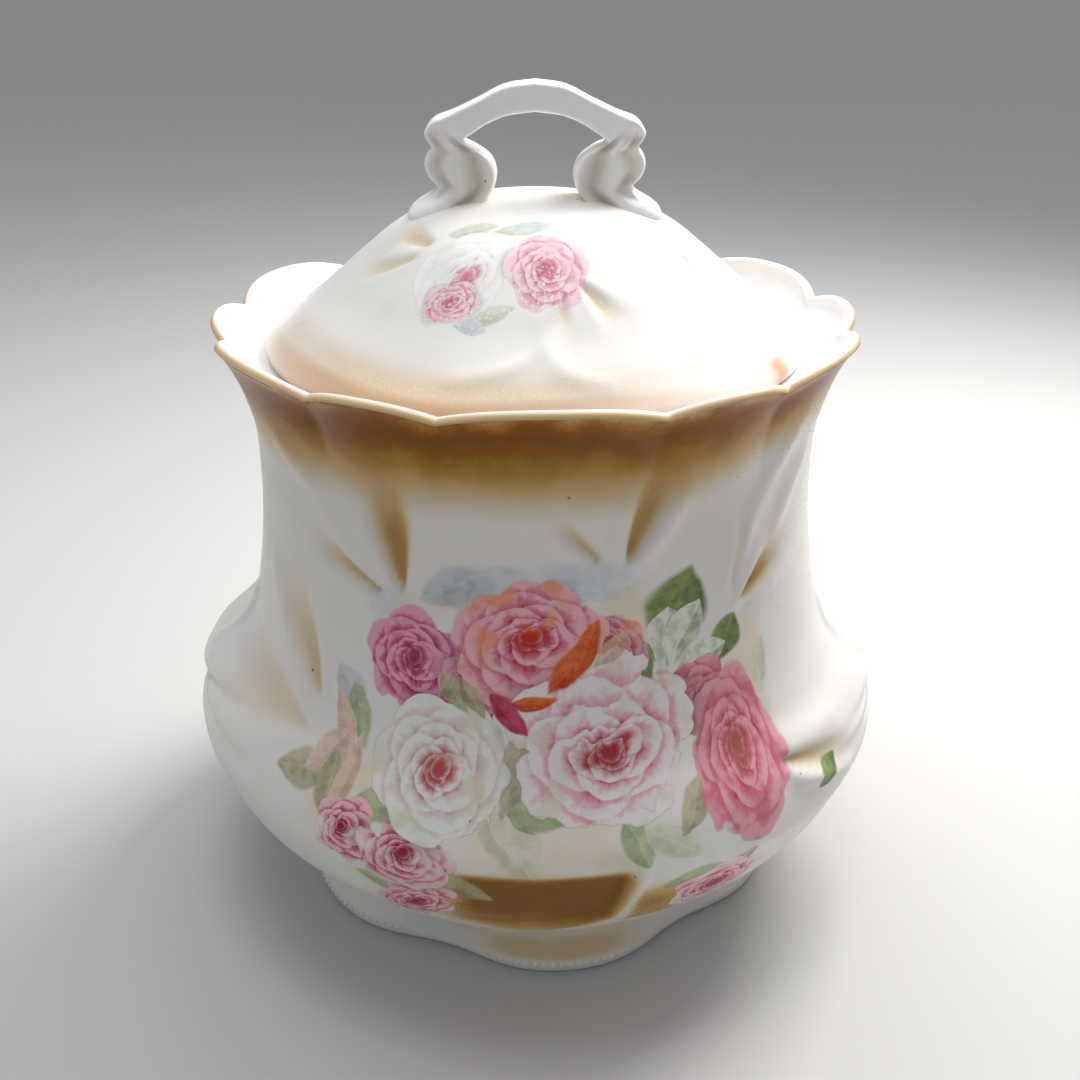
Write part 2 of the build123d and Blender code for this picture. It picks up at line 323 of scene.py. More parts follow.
def jar_profile():
    """Rings of the jar from under the foot, up the outside, over the lip and down to the floor.

    Each ring is (radius, height, zone).
    """
    under = smooth_path(((0.0, FOOT_RECESS), (26.0, FOOT_RECESS), (49.0, FOOT_RECESS)), 5)
    ring = smooth_path(((50.5, FOOT_RECESS), (52.6, 3.5), (53.2, 1.2), (54.2, 0.2), (57.0, 0.0)), 9)
    foot = smooth_path(
        ((59.6, 0.15), (60.6, 1.0), (60.9, 2.6), (60.4, 5.0), (59.3, 8.0), (59.6, 10.5), (61.6, 12.8)), 18
    )
    body = smooth_path(
        (
            (62.4, 13.4), (65.8, 16.2), (70.4, 20.6), (79.5, 31.0), (84.4, 41.5), (BELLY_RADIUS, 47.0),
            (83.0, 54.5), (79.2, 60.0), (74.5, 65.8), (70.8, 74.0), (68.6, 84.0), (66.7, 98.0),
            (66.0, NECK_TOP), (66.3, 124.0), (67.7, 133.0), (70.0, 138.4), (71.8, 140.8),
        ),
        124,
    )
    lip_angle = np.radians(np.linspace(0, 180, 10))
    lip_radius = 70.5 + 1.4 * np.cos(lip_angle)
    lip_height = RIM_CUSP - 1.2 + 1.3 * np.sin(lip_angle)
    lip = np.stack([lip_radius, lip_height], axis=1)
    inside = smooth_path(((69.0, 139.9), (67.4, 138.6), (65.3, 137.4), (63.6, 136.6), (62.5, LEDGE)), 10)
    ledge = smooth_path(((61.5, LEDGE), (57.0, LEDGE), (55.8, 136.1), (55.5, 134.5), (56.5, 131.5)), 8)
    hollow = smooth_path(
        (
            (58.5, 129.0), (61.8, 124.0), (62.0, NECK_TOP), (64.6, 84.0), (70.4, 66.0), (79.0, 55.0),
            (81.0, 46.5), (77.5, 34.0), (68.0, 21.5), (58.5, 13.0), (50.0, FLOOR_TOP), (25.0, FLOOR_TOP),
            (0.0, FLOOR_TOP),
        ),
        22,
    )
    pieces = (
        (under, UNDER), (ring, UNDER), (foot, OUTSIDE), (body, OUTSIDE),
        (lip, LIP), (inside, INSIDE), (ledge, INSIDE), (hollow, INSIDE),
    )
    return np.array([(radius, height, zone) for points, zone in pieces for radius, height in points])


def foot_lobes(turn):
    """The foot's six rounded lobes, in millimetres from its mean edge."""
    phase = np.radians((turn - FOOT_TURN) * 6)
    return 2.7 * np.cos(phase) - 0.35 * np.cos(2 * phase)


def spread(weights):
    """Places from 0 to 1 whose steps are as large as the weights."""
    walked = np.concatenate([[0], np.cumsum(weights)])
    return walked / walked[-1]


BEAD_STRIP = 0.012  # the part of the jar's map kept for the beads


def make_jar(columns=432):
    rings = jar_profile()
    turn = (np.arange(columns) / columns * 360.0 - 180.0)[None, :]
    radius, height, zone = (rings[:, k][:, None] for k in range(3))
    outer = zone == OUTSIDE
    lip_height = RIM_CUSP - 1
    flare = smooth(NECK_TOP, lip_height, height) ** 1.5
    rim = np.where(zone == INSIDE, smooth(LEDGE, lip_height, height), flare)
    lobe = lobe_shape(turn, RIM_TURN)
    in_foot = (zone <= OUTSIDE) * smooth(51, 57, radius) * smooth(11.5, 3.0, height)
    moulded = outer * smooth(13.5, 20, height) * smooth(140, 128, height)
    z = height + CROWN_RISE * lobe * rim**2
    r = radius + CROWN_BULGE * lobe * rim + foot_lobes(turn) * in_foot
    r = r + body_relief(turn, height) * moulded
    # slip-cast walls are never quite true
    r = r + outer * 0.25 * np.sin(np.radians(2 * turn + 40)) * np.sin(height / 38.0)
    points = turned(turn, r, z)

    sprayed_to = 119.0 + 6.0 * smooth(25, 50, turn)
    collar = np.clip((height - sprayed_to) / (RIM_CUSP - sprayed_to), 0, 1)
    collar = collar * (zone <= LIP) * (zone >= OUTSIDE)
    fields = {
        "tint": airbrush(turn, height) * outer,
        "collar": collar,
        "bare": (zone >= LIP) * 1.0 + 0 * turn,
        "lip": (zone == LIP) * smooth(70.2, 71.6, radius) + 0 * turn,
    }
    # the printed front gets the most room on the bake's map
    across = spread(1.0 + 2.5 * smooth(75, 50, np.abs(turn[0])))
    up = spread(np.where(rings[1:, 2] == OUTSIDE, 3.0, 0.7)) * (1 - BEAD_STRIP) + BEAD_STRIP

    def place(row, column):
        u = np.interp(column, np.linspace(0, 1, columns + 1), across)
        v = np.interp(row, np.linspace(0, 1, len(rings)), up)
        return u, v

    return grid_object("jar", points, fields, place)


def bead_row():
    """A row of small beads moulded just above the edge of the foot, as points and faces."""
    pitch = 2.0
    row_radius = 61.0
    row_height = 3.0
    count = int(2 * math.pi * row_radius / pitch)
    verts = []
    faces = []
    places = []
    sides = 8
    levels = 4
    for k in range(count):
        turn = k * 360.0 / count
        wave = math.cos(math.radians((turn - FOOT_TURN) * 6))
        if wave < -0.5:  # the row breaks off between two lobes
            continue
        size = 0.62 + 0.16 * wave
        edge = 60.7 + float(foot_lobes(turn))
        base = len(verts)
        out = np.array([math.sin(math.radians(turn)), -math.cos(math.radians(turn)), 0.0])
        along = np.array([-out[1], out[0], 0.0])
        up = np.array([0.0, 0.0, 1.0])
        centre = out * edge + up * row_height
        for level in range(levels):
            lean = math.radians(level * 30 - 15)
            for side in range(sides):
                around = 2 * math.pi * side / sides
                ring = math.cos(lean) * (math.cos(around) * along + math.sin(around) * up)
                verts.append(centre + size * (ring + math.sin(lean) * out))
                u = (k + 0.5 + 0.45 * math.cos(around) * math.cos(lean)) / count
                v = BEAD_STRIP * (0.45 + 0.4 * math.sin(around) * math.cos(lean))
                places.append((u, v))
        verts.append(centre + size * out)
        places.append(((k + 0.5) / count, 0.45 * BEAD_STRIP))
        verts.append(centre - 0.4 * size * out)
        places.append(((k + 0.5) / count, 0.02 * BEAD_STRIP))
        for level in range(levels - 1):
            for side in range(sides):
                after = (side + 1) % sides
                low = base + level * sides
                faces.append((low + side, low + after, low + sides + after, low + sides + side))
        top = base + (levels - 1) * sides
        for side in range(sides):
            after = (side + 1) % sides
            faces.append((top + side, top + after, base + levels * sides))
            faces.append((base + after, base + side, base + levels * sides + 1))
    return np.array(verts) * MM, faces, places


def add_beads(piece):
    verts, faces, places = bead_row()
    mesh = smooth_mesh("beads", verts, faces)
    add_map(mesh, [places[v] for face in faces for v in face])
    bm = bmesh.new()
    bm.from_mesh(piece.data)
    bm.from_mesh(mesh)
    bm.to_mesh(piece.data)
    bm.free()
    bpy.data.meshes.remove(mesh)


# ---- lid ----
# tip (turn, radius), broad end, width at the tip and at the end, depth in mm, tint
LID_PINCHES = (
    ((-44.0, 31.5), (-70.0, 30.0), 0.7, 3.4, 0.8, 0.6),
    ((-46.0, 35.0), (-64.0, 41.0), 0.5, 2.0, 0.64, 0.4),
    ((14.5, 38.0), (21.5, 45.0), 0.6, 2.4, 0.72, 0.55),
    ((8.5, 40.5), (6.5, 46.0), 0.5, 1.5, 0.56, 0.45),
    ((62.0, 36.0), (48.0, 45.0), 0.8, 3.0, 0.88, 0.4),
)

# points (turn, radius), width, rise in mm
LID_RIDGES = (
    (((-38.0, 24.0), (-42.5, 32.0), (-42.0, 38.0), (-43.0, 48.0)), 1.8, 0.4),
    (((12.0, 35.0), (4.0, 43.0), (2.5, 48.0), (7.0, 55.0), (20.0, 58.0)), 1.8, 0.45),
    (((-20.0, 57.0), (-8.5, 54.5), (-1.0, 51.5), (4.0, 47.0)), 1.6, 0.3),
    (((-58.0, 30.0), (-62.0, 40.0), (-66.0, 50.0), (-72.0, 57.0)), 2.0, 0.35),
    (((50.0, 34.0), (44.0, 44.0), (40.0, 52.0), (34.0, 58.0)), 2.0, 0.35),
)


def lid_fields(turn, radius):
    """Relief in millimetres and ochre of the dome, at a turn and a radius from its axis."""
    out = np.zeros(np.broadcast(turn, radius).shape)
    tint = np.zeros_like(out)
    for side in (0.0, 180.0):
        local = wrap(turn - side)
        for tip, end, tip_width, end_width, deep, colour in LID_PINCHES:
            pressed, lips = groove(local, radius, tip, end, tip_width, end_width, scale=DOME_DEGREE)
            out += deep * (0.25 * lips - pressed)
            tint = np.maximum(tint, colour * pressed)
        for route, width, rise in LID_RIDGES:
            out += rise * ridge(local, radius, route, width, scale=DOME_DEGREE)
    petals = 0.5 + 0.5 * np.cos(np.radians(6 * (turn - RIM_TURN)))
    out += 0.6 * petals * hump(radius - 55.0, 5.0) * smooth(62.2, 59.0, radius)
    return out, tint


def make_lid(columns=400):
    flange_bottom = lid_low[2]
    dome = smooth_path(
        (
            (0.0, LID_TOP), (11.0, LID_TOP - 0.6), (22.0, 168.2), (31.5, 164.3), (40.0, 157.8),
            (48.0, 150.9), (55.0, 145.2), (60.0, 141.4),
        ),
        96,
    )
    edge = smooth_path(
        (
            (60.9, 140.7), (LID_RADIUS - 0.3, 139.6), (LID_RADIUS, 138.4), (LID_RADIUS - 0.4, 137.2),
            (61.0, LID_BOTTOM),
        ),
        12,
    )
    seat = smooth_path(((60.0, LID_BOTTOM), (56.0, LID_BOTTOM), (54.8, 136.4), (FLANGE_RADIUS, 135.5)), 8)
    flange = smooth_path(
        (
            (FLANGE_RADIUS, 134.5), (FLANGE_RADIUS - 0.2, 130.2), (53.6, flange_bottom),
            (51.2, flange_bottom), (50.6, 130.0), (50.5, 136.0), (49.5, 142.0),
        ),
        18,
    )
    under = smooth_path(
        ((48.0, 144.8), (40.0, 152.5), (29.0, 160.5), (15.0, 167.5), (0.0, LID_TOP - 4.0)), 24
    )
    kinds = ((dome, 1.0), (edge, 0.0), (seat, 0.0), (flange, 0.0), (under, 0.0))
    rings = np.array([(r, z, w) for points, w in kinds for r, z in points])[::-1]
    turn = (np.arange(columns) / columns * 360.0 - 180.0)[None, :]
    radius, height, top = (rings[:, k][:, None] for k in range(3))
    relief, tint = lid_fields(turn, radius + 0 * turn)
    lift = relief * top
    points = turned(turn, radius + 0.5 * lift * smooth(20, 60, radius), height + 0.85 * lift)
    wave = 0.6 * np.sin(np.radians(5 * turn + 30)) + 0.5 * np.sin(np.radians(3 * turn - 60))
    underside = (np.arange(len(rings)) < len(rings) - len(dome) - len(edge))[:, None]
    warm = hump(wrap(turn + 22), 48) + hump(wrap(turn - 160), 60)
    patch = hump(wrap(turn - 58) * 1.08, 4.5) * smooth(58.5, 60.5, radius)
    fields = {
        "tint": tint * top,
        "band": smooth(49.0, 61.5, radius + wave) * ~underside,
        "warm": warm + 0 * radius,
        "patch": patch * ~underside,
        "inner": underside * 1.0 + 0 * turn,
    }
    return grid_object("lid", points, fields)


# ---- handle ----
def make_handle(stations=280, around=64):
    """A bridge whose section runs from one foot, over the top, to the other foot."""
    outer_half = (
        (0, HANDLE_TOP), (6.6, 194.0), (12.5, 191.2), (18.0, 188.7), (22.3, 187.0), (24.3, 184.4),
        (23.7, 182.6), (22.9, 181.2), (24.1, 179.4), (24.5, 177.2), (23.6, 174.8), (21.9, 173.0),
        (23.0, 171.2), (26.6, 169.0), (28.4, 167.2), (28.4, 165.2),
    )
    inner_half = (
        (0, 188.6), (6.0, 187.8), (10.4, 186.1), (13.6, 184.1), (15.6, 182.8), (15.3, 181.7), (12.6, 180.8),
        (9.6, 178.6), (8.5, 175.4), (9.2, 172.2), (10.8, 169.4), (12.0, 166.5), (12.4, 165.0),
    )
    half = stations // 2 + 1
    outer = smooth_path(outer_half, half)
    inner = smooth_path(inner_half, half)
    t = np.linspace(0, 1, half)[:, None]
    in_leg = smooth(0.44, 0.56, t)
    angle = np.linspace(0, 2 * np.pi, around, endpoint=False)[None, :]
    # the bridge is a flat strap, the legs are a little rounder
    power = 2 / (6.0 - 2.2 * in_leg)
    across = 0.5 + 0.5 * np.sign(np.cos(angle)) * np.abs(np.cos(angle)) ** power
    side = np.sign(np.sin(angle)) * np.abs(np.sin(angle)) ** power
    depth = 4.6 + 2.0 * smooth(0.36, 0.58, t) + 1.6 * smooth(0.84, 1.0, t)
    inner_flute = 4.0 * hump(across - 0.30, 0.15) * smooth(1.0, 0.86, t)
    outer_flute = 3.4 * hump(across - 0.80, 0.12) * smooth(0.92, 0.74, t)
    flutes = in_leg * (inner_flute + outer_flute)
    dish = 0.35 * (1 - in_leg) * (1 - (2 * across - 1) ** 2)
    y = side * (depth - flutes - dish)
    x = inner[:, :1] + (outer[:, :1] - inner[:, :1]) * across
    z = inner[:, 1:] + (outer[:, 1:] - inner[:, 1:]) * across
    right = np.stack([x, y, z], axis=2)
    left = right[::-1] * np.array([-1.0, 1.0, 1.0])
    whole = np.concatenate([left[:-1], right], axis=0)
    first = np.repeat(whole[:1].mean(axis=1, keepdims=True), around, axis=1)
    last = np.repeat(whole[-1:].mean(axis=1, keepdims=True), around, axis=1)
    points = np.concatenate([first, whole, last], axis=0)
    pressed = flutes / 4.0
    pressed = np.concatenate([pressed[-1:], pressed[::-1][:-1], pressed, pressed[-1:]], axis=0)
    return grid_object("handle", points, {"hollow": pressed})


# ---- node building ----
class Shader:
    """Builds one material's nodes. Inputs may be sockets or plain values."""

    def __init__(self, name):
        self.material = bpy.data.materials.new(name)
        self.material.use_nodes = True
        self.tree = self.material.node_tree
        self.surface = self.tree.nodes["Principled BSDF"]

    def node(self, kind):
        return self.tree.nodes.new("ShaderNode" + kind)

    def put(self, socket, value):
        if isinstance(value, bpy.types.NodeSocket):
            self.tree.links.new(value, socket)
        elif value is not None:
            socket.default_value = (*value, 1) if socket.type == "RGBA" else value

    def math(self, operation, a, b=None, c=None):
        node = self.node("Math")
        node.operation = operation
        for socket, value in zip(node.inputs, (a, b, c)):
            self.put(socket, value)
        return node.outputs[0]

    def add(self, a, b):
        return self.math("ADD", a, b)

    def times(self, a, b):
        return self.math("MULTIPLY", a, b)

    def absolute(self, value):
        return self.math("ABSOLUTE", value)

    def plus(self, value, factor, more):
        """value * factor + more."""
        return self.math("MULTIPLY_ADD", value, factor, more)

    def vector(self, operation, a, b=None):
        node = self.node("VectorMath")
        node.operation = operation
        self.put(node.inputs[0], a)
        if operation == "SCALE":
            self.put(node.inputs["Scale"], b)
        else:
            self.put(node.inputs[1], b)
        return node.outputs["Value" if operation in ("LENGTH", "DISTANCE", "DOT_PRODUCT") else "Vector"]

    def split(self, vector):
        node = self.node("SeparateXYZ")
        self.put(node.inputs[0], vector)
        return node.outputs

    def join(self, x, y, z):
        node = self.node("CombineXYZ")
        for socket, value in zip(node.inputs, (x, y, z)):
            self.put(socket, value)
        return node.outputs[0]

    def span(self, value, start, end, low=0.0, high=1.0):
        """low up to start, high from end on, with an S between them."""
        node = self.node("MapRange")
        node.interpolation_type = "SMOOTHSTEP"
        if start > end:
            start, end, low, high = end, start, high, low
        for socket, given in zip(node.inputs, (value, start, end, low, high)):
            self.put(socket, given)
        return node.outputs[0]

    def mix(self, factor, a, b, kind="RGBA"):
        node = self.node("Mix")
        node.data_type = kind
        node.clamp_factor = True
        first = {"RGBA": 6, "FLOAT": 2, "VECTOR": 4}[kind]
        self.put(node.inputs[0], factor)
        self.put(node.inputs[first], a)
        self.put(node.inputs[first + 1], b)
        return node.outputs[{"RGBA": 2, "FLOAT": 0, "VECTOR": 1}[kind]]

    def ramp(self, factor, stops, interpolation="LINEAR"):
        node = self.node("ValToRGB")
        node.color_ramp.interpolation = interpolation
        elements = node.color_ramp.elements
        while len(elements) < len(stops):
            elements.new(0.5)
        for element, (place, colour) in zip(elements, sorted(stops)):
            element.position = place
            element.color = (*colour, 1)
        self.put(node.inputs[0], factor)
        return node.outputs[0]

    def noise(self, vector, scale, detail=2.0, roughness=0.5, colour=False):
        node = self.node("TexNoise")
        self.put(node.inputs["Vector"], vector)
        for key, value in (("Scale", scale), ("Detail", detail), ("Roughness", roughness)):
            self.put(node.inputs[key], value)
        return node.outputs[1 if colour else 0]

    def cells(self, vector, scale, output="Distance"):
        node = self.node("TexVoronoi")
        self.put(node.inputs["Vector"], vector)
        self.put(node.inputs["Scale"], scale)
        return node.outputs[output]

    def attribute(self, name):
        node = self.node("Attribute")
        node.attribute_name = name
        return node.outputs["Fac"]

    def local(self, vector, centre, turn, size):
        """The vector in a frame at the centre, turned by degrees, with the size as its unit."""
        node = self.node("Mapping")
        node.vector_type = "TEXTURE"
        self.put(node.inputs["Vector"], vector)
        self.put(node.inputs["Location"], (centre[0], centre[1], 0))
        self.put(node.inputs["Rotation"], (0, 0, math.radians(turn)))
        self.put(node.inputs["Scale"], (size[0], size[1], 1))
        return node.outputs[0]

    def object_mm(self):
        node = self.node("TexCoord")
        return self.vector("SCALE", node.outputs["Object"], 1 / MM)

    def bump(self, height, distance, normal=None, strength=1.0):
        node = self.node("Bump")
        self.put(node.inputs["Height"], height)
        self.put(node.inputs["Distance"], distance)
        self.put(node.inputs["Strength"], strength)
        self.put(node.inputs["Normal"], normal)
        return node.outputs[0]


# ---- rose print ----
KINDS = 16  # room in the colour ramps that look a rose's or a leaf's colours up


def pick(shader, kind, colours):
    """The colour of a kind, from one colour per kind."""
    stops = [(k / KINDS, colour) for k, colour in enumerate(colours)]
    return shader.ramp(shader.plus(kind, 1 / KINDS, 0.5 / KINDS), stops, "CONSTANT")


# name: deep, middle, light, heart, accent
ROSE_COLOURS = {
    "magenta": (
        (0.34, 0.02, 0.09), (0.57, 0.10, 0.23), (0.80, 0.39, 0.50),
        (0.32, 0.02, 0.08), (0.80, 0.36, 0.48),
    ),
    "mauve": (
        (0.46, 0.04, 0.07), (0.67, 0.20, 0.28), (0.85, 0.48, 0.53),
        (0.54, 0.03, 0.01), (0.82, 0.30, 0.11),
    ),
    "white": (
        (0.66, 0.36, 0.36), (0.76, 0.64, 0.60), (0.84, 0.84, 0.80),
        (0.50, 0.04, 0.05), (0.70, 0.70, 0.50),
    ),
    "blush": (
        (0.60, 0.14, 0.19), (0.80, 0.44, 0.49), (0.85, 0.80, 0.79),
        (0.42, 0.02, 0.03), (0.76, 0.72, 0.58),
    ),
    "raspberry": (
        (0.48, 0.07, 0.11), (0.66, 0.19, 0.24), (0.78, 0.38, 0.43),
        (0.40, 0.12, 0.08), (0.60, 0.15, 0.18),
    ),
    "bud": (
        (0.38, 0.02, 0.07), (0.62, 0.15, 0.22), (0.84, 0.54, 0.58),
        (0.30, 0.01, 0.04), (0.84, 0.76, 0.72),
    ),
    "worn": (
        (0.46, 0.12, 0.18), (0.62, 0.27, 0.33), (0.80, 0.58, 0.61),
        (0.50, 0.11, 0.14), (0.74, 0.46, 0.50),
    ),
    "pale": (
        (0.68, 0.60, 0.58), (0.78, 0.75, 0.72), (0.82, 0.81, 0.79),
        (0.60, 0.16, 0.22), (0.72, 0.72, 0.64),
    ),
}
ROSE_KINDS = list(ROSE_COLOURS)

# name: dark half, light half, how much covers the porcelain
LEAF_COLOURS = {
    "deep": ((0.10, 0.15, 0.05), (0.25, 0.34, 0.11), 1.0),
    "fresh": ((0.22, 0.31, 0.13), (0.46, 0.53, 0.30), 0.85),
    "frosted": ((0.34, 0.42, 0.24), (0.80, 0.80, 0.73), 1.0),
    "blue": ((0.34, 0.41, 0.42), (0.56, 0.62, 0.64), 0.7),
    "mist": ((0.52, 0.58, 0.66), (0.70, 0.74, 0.78), 0.5),
    "olive": ((0.24, 0.23, 0.10), (0.52, 0.47, 0.27), 0.8),
    "peach": ((0.50, 0.28, 0.18), (0.74, 0.54, 0.38), 0.75),
    "lime": ((0.46, 0.50, 0.28), (0.72, 0.72, 0.54), 0.65),
    "faded": ((0.38, 0.44, 0.30), (0.62, 0.65, 0.53), 0.8),
    "orange": ((0.52, 0.04, 0.01), (0.76, 0.17, 0.04), 1.0),
    "crimson": ((0.36, 0.02, 0.06), (0.58, 0.09, 0.16), 1.0),
}
LEAF_KINDS = list(LEAF_COLOURS)

# the petals of every rose about its heart: distance out, petal radius, count, tones from inside to rim
PETAL_RINGS = (
    (0.45, 0.55, 5, 0.50, 0.98),
    (0.36, 0.42, 5, 0.32, 0.92),
    (0.22, 0.35, 5, 0.24, 0.98),
    (0.13, 0.24, 4, 0.14, 0.86),
    (0.06, 0.15, 3, 0.06, 0.66),
)
GUARD_PETALS = PETAL_RINGS[0][2]


def paint_leaves(shader, place, base, leaves):
    """Lays leaves over the base colour. A leaf is (kind, centre, turn, half length, half width)."""
    chosen = shader.join(9.0, 9.0, 0.0)  # well off any leaf
    inside = None
    for kind, centre, turn, length, width in leaves:
        at = shader.local(place, centre, turn, (length, width))
        along, side, _ = shader.split(at)
        taper = shader.plus(along, along, shader.absolute(side))
        hit = shader.math("LESS_THAN", taper, 1.0)
        chosen = shader.mix(hit, chosen, shader.join(along, side, LEAF_KINDS.index(kind)), "VECTOR")
        cover = shader.span(taper, 1.02, 0.74)
        inside = cover if inside is None else shader.math("MAXIMUM", inside, cover)
    along, side, kind = shader.split(chosen)
    dark = pick(shader, kind, [LEAF_COLOURS[name][0] for name in LEAF_KINDS])
    light = pick(shader, kind, [LEAF_COLOURS[name][1] for name in LEAF_KINDS])
    cover = pick(shader, kind, [(LEAF_COLOURS[name][2],) * 3 for name in LEAF_KINDS])
    rib = shader.span(shader.absolute(side), 0.12, 0.03)
    slant = shader.plus(shader.absolute(side), -1.3, shader.times(along, 3.2))
    vein = shader.span(shader.math("PINGPONG", slant, 0.5), 0.10, 0.02)
    half = shader.span(side, -0.25, 0.35)
    wash = shader.span(shader.noise(place, 0.35, 4.0, 0.6), 0.36, 0.62)
    light_part = shader.plus(wash, 0.6, shader.times(half, 0.5))
    veins = shader.plus(rib, 0.35, shader.times(vein, 0.18))
    colour = shader.mix(shader.add(light_part, veins), dark, light)
    return shader.mix(shader.times(inside, cover), base, colour)


def paint_roses(shader, place, base, roses):
    """Lays roses over the base colour.

    A rose is (kind, centre, turn, half width, half height, how far its heart lies above the middle).
    """
    chosen = shader.join(0.0, 0.0, 0.0)
    inside = None
    shade = None
    for kind, centre, turn, width, height, lift in roses:
        at = shader.local(place, centre, turn, (width, height))
        x, y, _ = shader.split(at)
        reach = shader.vector("LENGTH", at)
        lobes = shader.times(shader.math("ARCTAN2", y, x), GUARD_PETALS / 2)
        lobes = shader.absolute(shader.math("COSINE", lobes))
        edge = shader.plus(lobes, -0.14, reach)
        hit = shader.math("LESS_THAN", edge, 0.86)
        within = shader.math("MAXIMUM", shader.plus(reach, -1.0, 1.0), 0.0)
        moved = shader.plus(within, -lift, y)
        chosen = shader.mix(hit, chosen, shader.join(x, moved, ROSE_KINDS.index(kind)), "VECTOR")
        cover = shader.span(edge, 0.88, 0.83)
        inside = cover if inside is None else shader.math("MAXIMUM", inside, cover)
        # a rose darkens the roses behind it, just outside its edge
        dim = shader.span(edge, 0.86, 1.06, 0.72, 1.0)
        shade = 1.0 if shade is None else shader.mix(hit, shader.math("MINIMUM", shade, dim), 1.0, "FLOAT")
    x, y, kind = shader.split(chosen)
    at = shader.join(x, y, 0.0)
    tone = 0.5
    for ring, (out, size, count, low, high) in enumerate(PETAL_RINGS):
        for k in range(count):
            angle = 2 * math.pi * (k + 0.37 * ring) / count
            away = shader.vector("DISTANCE", at, (out * math.cos(angle), out * math.sin(angle), 0.0))
            under = shader.span(away, size, size * 1.25, 0.70, 1.0)
            petal = shader.span(away, size * 0.35, size * 0.97, low + 0.06 * (k % 3), high - 0.08 * (k % 2))
            cover = shader.span(away, size * 1.03, size * 0.96)
            tone = shader.mix(cover, shader.times(tone, under), petal, "FLOAT")
    from_heart = shader.vector("LENGTH", at)
    towards = shader.vector("SCALE", shader.vector("NORMALIZE", at), 2.2)
    streak = shader.vector("ADD", towards, shader.join(0.0, 0.0, shader.plus(from_heart, 1.6, kind)))
    streak = shader.noise(streak, 1.6, 3.0, 0.6)
    tone = shader.add(tone, shader.span(streak, 0.3, 0.7, -0.15, 0.15))
    tone = shader.add(tone, shader.span(shader.noise(place, 0.7, 2.0, 0.6), 0.3, 0.7, -0.07, 0.07))
    deep, middle, light, heart, accent = (
        pick(shader, kind, [ROSE_COLOURS[name][part] for name in ROSE_KINDS]) for part in range(5)
    )
    colour = shader.mix(shader.span(tone, 0.05, 0.46), deep, middle)
    colour = shader.mix(shader.span(tone, 0.46, 0.88), colour, light)
    tinted = shader.span(shader.noise(place, 0.13, 2.0), 0.50, 0.66, 0.0, 0.75)
    colour = shader.mix(tinted, colour, accent)
    core = shader.span(shader.plus(tone, 0.30, from_heart), 0.56, 0.16, 0.0, 0.92)
    colour = shader.mix(core, colour, heart)
    colour = shader.vector("SCALE", colour, shade)
    return shader.mix(inside, base, colour)


def paint_washes(shader, place, base, washes):
    """Lays soft thin colour over the base. A wash is (colour, strength, centre, turn, half sizes)."""
    cloud = shader.span(shader.noise(place, 0.22, 3.0), 0.32, 0.6, 0.45, 1.0)
    for colour, strength, centre, turn, sizes in washes:
        at = shader.local(place, centre, turn, sizes)
        cover = shader.span(shader.vector("DOT_PRODUCT", at, at), 1.0, 0.25, 0.0, strength)
        base = shader.mix(shader.times(cover, cloud), base, colour)
    return base


# ---- porcelain ----
PORCELAIN = (0.80, 0.775, 0.735)
INSIDE_WHITE = (0.79, 0.79, 0.785)
# the handle's white is painted lighter than the lid's porcelain: painted light for the light its strap
# catches
HANDLE_WHITE_PAINTED_LIGHT = (0.90, 0.89, 0.87)
GILT = (0.72, 0.52, 0.28)  # the worn golden edge of the rim
LUSTRE = (0.70, 0.53, 0.33)
ROSY = (0.76, 0.70, 0.66)
LILAC = (0.75, 0.74, 0.77)
FLECK = (0.82, 0.78, 0.75)
TEA = (0.74, 0.60, 0.40)
RUST = (0.52, 0.27, 0.12)
STAIN = (0.74, 0.67, 0.56)
IRON = (0.12, 0.09, 0.06)
OCHRE_STOPS = (
    (0.0, PORCELAIN), (0.25, (0.75, 0.65, 0.48)), (0.55, (0.58, 0.38, 0.14)),
    (0.85, (0.40, 0.20, 0.04)), (1.0, (0.27, 0.11, 0.015)),
)
COLLAR_STOPS = (
    (0.0, PORCELAIN), (0.16, (0.73, 0.62, 0.46)), (0.31, (0.62, 0.43, 0.20)), (0.46, (0.47, 0.26, 0.055)),
    (0.62, (0.30, 0.11, 0.004)), (0.74, (0.23, 0.07, 0.001)), (0.86, (0.32, 0.11, 0.004)),
    (0.95, (0.50, 0.25, 0.06)), (1.0, (0.68, 0.46, 0.22)),
)

DEGREE = 1.2  # width of a degree of turn on the print, in millimetres

SKY = (0.58, 0.64, 0.72)
SLATE = (0.44, 0.50, 0.51)
SAND = (0.80, 0.68, 0.46)
LIME = (0.60, 0.62, 0.40)
WHITE = (0.84, 0.83, 0.80)

